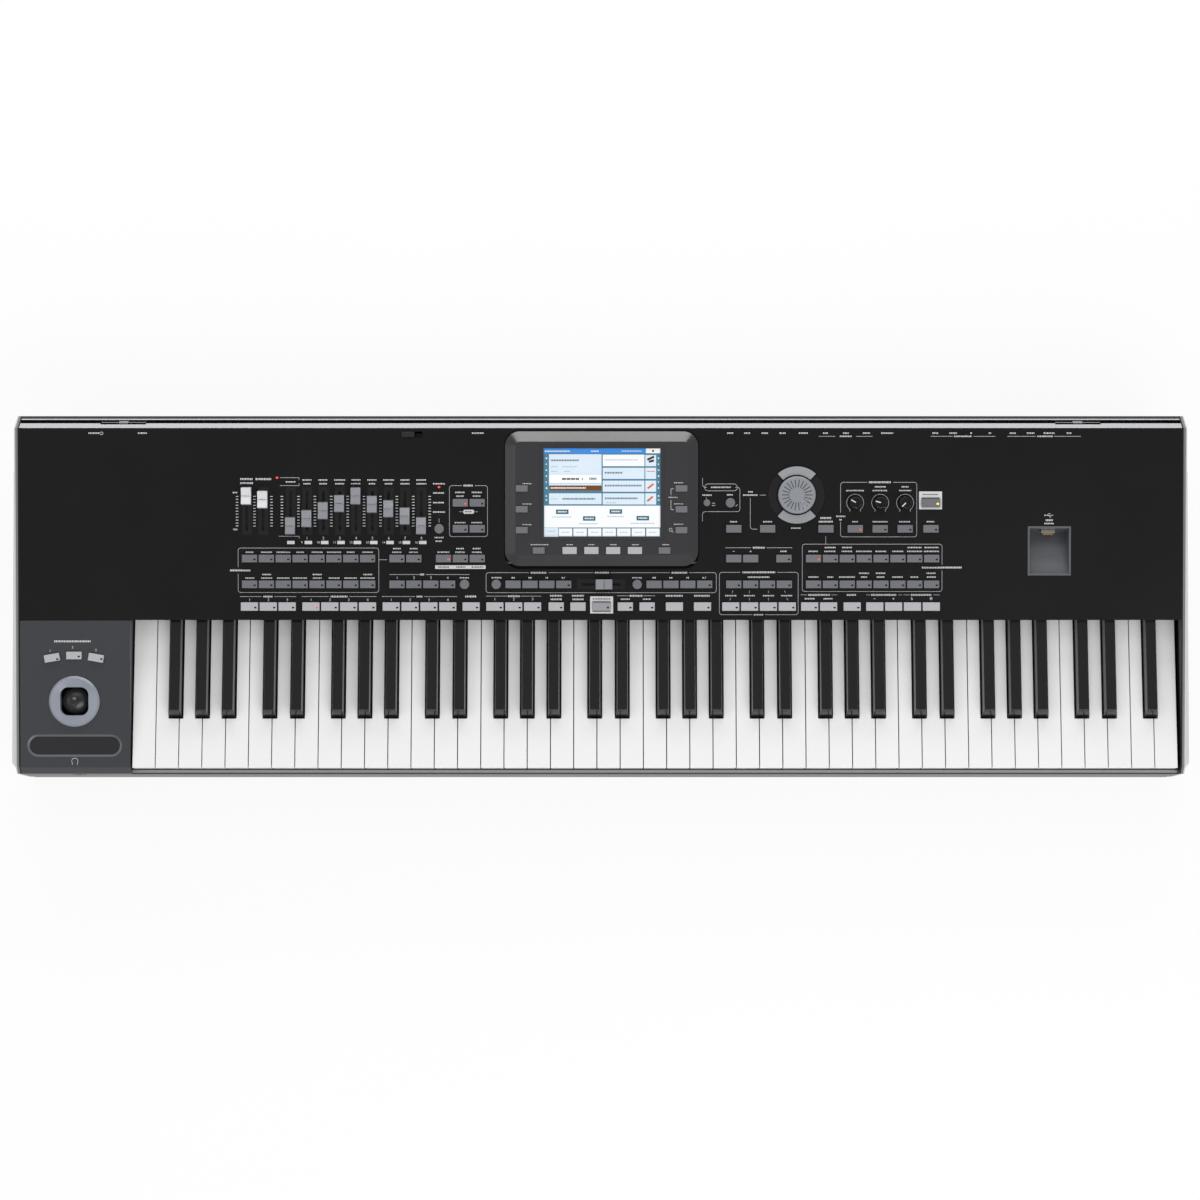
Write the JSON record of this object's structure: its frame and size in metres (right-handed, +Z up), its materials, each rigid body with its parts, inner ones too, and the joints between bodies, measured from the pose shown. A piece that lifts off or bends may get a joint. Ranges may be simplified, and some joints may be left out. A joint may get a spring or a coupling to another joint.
{
  "type": "arranger keyboard",
  "caption": "Electronic arranger keyboard with hinged display, joystick, sliders, dial and button rows on a sloped panel above a full bed of piano-style keys.",
  "frame": {"origin": "on the floor under the middle of the case", "axes": "+X to the player's right, +Y away from the player, +Z up"},
  "size_m": [1.203, 0.36, 0.134],
  "materials": {
    "charcoal_metal": "fine matt grain",
    "panel_aluminium": "black painted, fine grain",
    "silver_plastic": "silver paint",
    "silver_aluminium": "brushed, dark groove",
    "slip_plastic": "satin grey",
    "block_plastic": "satin dark grey",
    "collar_plastic": "blue grey",
    "ribbon_pad": "smooth",
    "frame_metal": "bare",
    "spring_steel": "bare",
    "board_laminate": "solder mask",
    "supply_case": "plain",
    "black_plastic": "satin",
    "foot_rubber": "matt",
    "housing_plastic": "satin dark grey, lighter bevels",
    "screen_glass": "lit screen",
    "dark_button": "satin grey",
    "light_button": "satin light grey",
    "dial_plastic": "satin grey",
    "slider_plastic": "satin grey",
    "white_key": "smooth",
    "black_key": "satin"
  },
  "bodies": {
    "case": {"bottom_case": "charcoal_metal", "top_panel": "panel_aluminium", "left_end_cheek": "silver_plastic", "right_end_cheek": "silver_plastic", "rear_panel": "charcoal_metal", "rear_rail": "silver_aluminium", "key_slip": "slip_plastic", "joystick_panel": "block_plastic", "ribbon_strip": "ribbon_pad", "joystick_collar": "collar_plastic", "usb_well": "block_plastic", "keybed_frame": "frame_metal", "key_springs": "spring_steel", "circuit_boards": "board_laminate", "power_supply": "supply_case", "connectors": "black_plastic", "control_pots": "black_plastic", "rubber_feet": "foot_rubber", "case_screws": "spring_steel"},
    "display": {"display_housing": "housing_plastic", "display_screen": "screen_glass"},
    "display_buttons": {"display_buttons": "dark_button"},
    "value_dial": {"value_dial": "dial_plastic"},
    "mic_volume_knob": {"mic_volume_knob": "slider_plastic"},
    "harmony_knob": {"harmony_knob": "slider_plastic"},
    "reverb_knob": {"reverb_knob": "slider_plastic"},
    "slider_01": {"slider_01": "slider_plastic"},
    "slider_02": {"slider_02": "slider_plastic"},
    "slider_03": {"slider_03": "slider_plastic"},
    "slider_04": {"slider_04": "slider_plastic"},
    "slider_05": {"slider_05": "slider_plastic"},
    "slider_06": {"slider_06": "slider_plastic"},
    "slider_07": {"slider_07": "slider_plastic"},
    "slider_08": {"slider_08": "slider_plastic"},
    "slider_09": {"slider_09": "slider_plastic"},
    "slider_10": {"slider_10": "slider_plastic"},
    "slider_11": {"slider_11": "slider_plastic"},
    "crossfader": {"crossfader": "slider_plastic"},
    "joystick_gimbal": {"joystick_gimbal": "black_plastic"},
    "joystick_stick": {"joystick_stick": "black_plastic"},
    "speaker_latch": {"speaker_latch": "black_plastic"},
    "power_switch": {"power_switch": "black_plastic"},
    "style_buttons": {"style_buttons": "dark_button"},
    "sound_buttons": {"sound_buttons": "dark_button"},
    "control_buttons": {"control_buttons": "dark_button"},
    "arranger_buttons": {"arranger_buttons": "light_button"},
    "value_buttons": {"value_buttons": "dial_plastic"},
    "assignable_switches": {"assignable_switches": "dark_button"},
    "keys_c": {"keys_c": "white_key"},
    "keys_c_sharp": {"keys_c_sharp": "black_key"},
    "keys_d": {"keys_d": "white_key"},
    "keys_d_sharp": {"keys_d_sharp": "black_key"},
    "keys_e": {"keys_e": "white_key"},
    "keys_f": {"keys_f": "white_key"},
    "keys_f_sharp": {"keys_f_sharp": "black_key"},
    "keys_g": {"keys_g": "white_key"},
    "keys_g_sharp": {"keys_g_sharp": "black_key"},
    "keys_a": {"keys_a": "white_key"},
    "keys_a_sharp": {"keys_a_sharp": "black_key"},
    "keys_b": {"keys_b": "white_key"}
  },
  "joints": [
    {"name": "display_lift", "type": "hinge", "parent": "case", "child": "display", "pos_m": [0.001, 0.03117, 0.10567], "axis": [1, 0, 0], "range_deg": [0, 45]},
    {"name": "joystick_fore_aft", "type": "hinge", "parent": "case", "child": "joystick_gimbal", "pos_m": [-0.5312, -0.10569, 0.0728], "axis": [1, 0, 0], "range_deg": [-18, 18], "stiffness_Nm_per_rad": 0.2},
    {"name": "joystick_left_right", "type": "hinge", "parent": "joystick_gimbal", "child": "joystick_stick", "pos_m": [-0.5312, -0.10569, 0.0728], "axis": [0, 0.9903, 0.1392], "range_deg": [-18, 18], "stiffness_Nm_per_rad": 0.2},
    {"name": "speaker_latch_travel", "type": "slide", "parent": "case", "child": "speaker_latch", "axis": [1, 0, 0], "range_m": [0, 0.008]},
    {"name": "power_switch_rock", "type": "hinge", "parent": "case", "child": "power_switch", "pos_m": [-0.51, 0.1718, 0.062], "axis": [0, 0, 1], "range_deg": [-14, 0]},
    {"name": "crossfader_travel", "type": "slide", "parent": "case", "child": "crossfader", "axis": [1, 0, 0], "range_m": [-0.0179, 0.0121]},
    {"name": "value_dial_turn", "type": "hinge", "parent": "case", "child": "value_dial", "pos_m": [0.1976, 0.09816, 0.11761], "axis": [0, -0.1392, 0.9903], "continuous": true},
    {"name": "mic_volume_knob_turn", "type": "hinge", "parent": "case", "child": "mic_volume_knob", "pos_m": [0.2565, 0.09043, 0.11652], "axis": [0, -0.1392, 0.9903], "range_deg": [-210, 90]},
    {"name": "harmony_knob_turn", "type": "hinge", "parent": "case", "child": "harmony_knob", "pos_m": [0.2816, 0.09043, 0.11652], "axis": [0, -0.1392, 0.9903], "range_deg": [-225, 75]},
    {"name": "reverb_knob_turn", "type": "hinge", "parent": "case", "child": "reverb_knob", "pos_m": [0.3067, 0.09043, 0.11652], "axis": [0, -0.1392, 0.9903], "range_deg": [-285, 15]},
    {"name": "style_buttons_press", "type": "slide", "parent": "case", "child": "style_buttons", "axis": [0, 0.1392, -0.9903], "range_m": [0, 0.001], "stiffness_N_per_m": 600, "springref_m": -0.002},
    {"name": "sound_buttons_press", "type": "slide", "parent": "case", "child": "sound_buttons", "axis": [0, 0.1392, -0.9903], "range_m": [0, 0.001], "stiffness_N_per_m": 600, "springref_m": -0.002},
    {"name": "control_buttons_press", "type": "slide", "parent": "case", "child": "control_buttons", "axis": [0, 0.1392, -0.9903], "range_m": [0, 0.001], "stiffness_N_per_m": 600, "springref_m": -0.002},
    {"name": "arranger_buttons_press", "type": "slide", "parent": "case", "child": "arranger_buttons", "axis": [0, 0.1392, -0.9903], "range_m": [0, 0.001], "stiffness_N_per_m": 600, "springref_m": -0.002},
    {"name": "value_buttons_press", "type": "slide", "parent": "case", "child": "value_buttons", "axis": [0, 0.1392, -0.9903], "range_m": [0, 0.001], "stiffness_N_per_m": 600, "springref_m": -0.002},
    {"name": "display_buttons_press", "type": "slide", "parent": "display", "child": "display_buttons", "axis": [0, 0.1392, -0.9903], "range_m": [0, 0.001], "stiffness_N_per_m": 600, "springref_m": -0.002},
    {"name": "assignable_switches_press", "type": "slide", "parent": "case", "child": "assignable_switches", "axis": [0, 0.1392, -0.9903], "range_m": [0, 0.001], "stiffness_N_per_m": 600, "springref_m": -0.002},
    {"name": "keys_c_press", "type": "hinge", "parent": "case", "child": "keys_c", "pos_m": [0, 0.025, 0.066], "axis": [1, 0, 0], "range_deg": [0, 2.86], "stiffness_Nm_per_rad": 4, "springref_deg": -11.46},
    {"name": "keys_c_sharp_press", "type": "hinge", "parent": "case", "child": "keys_c_sharp", "pos_m": [0, 0.025, 0.066], "axis": [1, 0, 0], "range_deg": [0, 2.86], "stiffness_Nm_per_rad": 4, "springref_deg": -11.46},
    {"name": "keys_d_press", "type": "hinge", "parent": "case", "child": "keys_d", "pos_m": [0, 0.025, 0.066], "axis": [1, 0, 0], "range_deg": [0, 2.86], "stiffness_Nm_per_rad": 4, "springref_deg": -11.46},
    {"name": "keys_d_sharp_press", "type": "hinge", "parent": "case", "child": "keys_d_sharp", "pos_m": [0, 0.025, 0.066], "axis": [1, 0, 0], "range_deg": [0, 2.86], "stiffness_Nm_per_rad": 4, "springref_deg": -11.46},
    {"name": "keys_e_press", "type": "hinge", "parent": "case", "child": "keys_e", "pos_m": [0, 0.025, 0.066], "axis": [1, 0, 0], "range_deg": [0, 2.86], "stiffness_Nm_per_rad": 4, "springref_deg": -11.46},
    {"name": "keys_f_press", "type": "hinge", "parent": "case", "child": "keys_f", "pos_m": [0, 0.025, 0.066], "axis": [1, 0, 0], "range_deg": [0, 2.86], "stiffness_Nm_per_rad": 4, "springref_deg": -11.46},
    {"name": "keys_f_sharp_press", "type": "hinge", "parent": "case", "child": "keys_f_sharp", "pos_m": [0, 0.025, 0.066], "axis": [1, 0, 0], "range_deg": [0, 2.86], "stiffness_Nm_per_rad": 4, "springref_deg": -11.46},
    {"name": "keys_g_press", "type": "hinge", "parent": "case", "child": "keys_g", "pos_m": [0, 0.025, 0.066], "axis": [1, 0, 0], "range_deg": [0, 2.86], "stiffness_Nm_per_rad": 4, "springref_deg": -11.46},
    {"name": "keys_g_sharp_press", "type": "hinge", "parent": "case", "child": "keys_g_sharp", "pos_m": [0, 0.025, 0.066], "axis": [1, 0, 0], "range_deg": [0, 2.86], "stiffness_Nm_per_rad": 4, "springref_deg": -11.46},
    {"name": "keys_a_press", "type": "hinge", "parent": "case", "child": "keys_a", "pos_m": [0, 0.025, 0.066], "axis": [1, 0, 0], "range_deg": [0, 2.86], "stiffness_Nm_per_rad": 4, "springref_deg": -11.46},
    {"name": "keys_a_sharp_press", "type": "hinge", "parent": "case", "child": "keys_a_sharp", "pos_m": [0, 0.025, 0.066], "axis": [1, 0, 0], "range_deg": [0, 2.86], "stiffness_Nm_per_rad": 4, "springref_deg": -11.46},
    {"name": "keys_b_press", "type": "hinge", "parent": "case", "child": "keys_b", "pos_m": [0, 0.025, 0.066], "axis": [1, 0, 0], "range_deg": [0, 2.86], "stiffness_Nm_per_rad": 4, "springref_deg": -11.46},
    {"name": "slider_01_travel", "type": "slide", "parent": "case", "child": "slider_01", "axis": [0, 0.9903, 0.1392], "range_m": [-0.03, 0]},
    {"name": "slider_02_travel", "type": "slide", "parent": "case", "child": "slider_02", "axis": [0, 0.9903, 0.1392], "range_m": [-0.0264, 0.0036]},
    {"name": "slider_03_travel", "type": "slide", "parent": "case", "child": "slider_03", "axis": [0, 0.9903, 0.1392], "range_m": [0, 0.03]},
    {"name": "slider_04_travel", "type": "slide", "parent": "case", "child": "slider_04", "axis": [0, 0.9903, 0.1392], "range_m": [-0.0072, 0.0228]},
    {"name": "slider_05_travel", "type": "slide", "parent": "case", "child": "slider_05", "axis": [0, 0.9903, 0.1392], "range_m": [-0.01521, 0.01479]},
    {"name": "slider_06_travel", "type": "slide", "parent": "case", "child": "slider_06", "axis": [0, 0.9903, 0.1392], "range_m": [-0.02235, 0.00765]},
    {"name": "slider_07_travel", "type": "slide", "parent": "case", "child": "slider_07", "axis": [0, 0.9903, 0.1392], "range_m": [-0.03, 0]},
    {"name": "slider_08_travel", "type": "slide", "parent": "case", "child": "slider_08", "axis": [0, 0.9903, 0.1392], "range_m": [-0.0216, 0.0084]},
    {"name": "slider_09_travel", "type": "slide", "parent": "case", "child": "slider_09", "axis": [0, 0.9903, 0.1392], "range_m": [-0.0171, 0.0129]},
    {"name": "slider_10_travel", "type": "slide", "parent": "case", "child": "slider_10", "axis": [0, 0.9903, 0.1392], "range_m": [-0.00975, 0.02025]},
    {"name": "slider_11_travel", "type": "slide", "parent": "case", "child": "slider_11", "axis": [0, 0.9903, 0.1392], "range_m": [0, 0.03]}
  ]
}
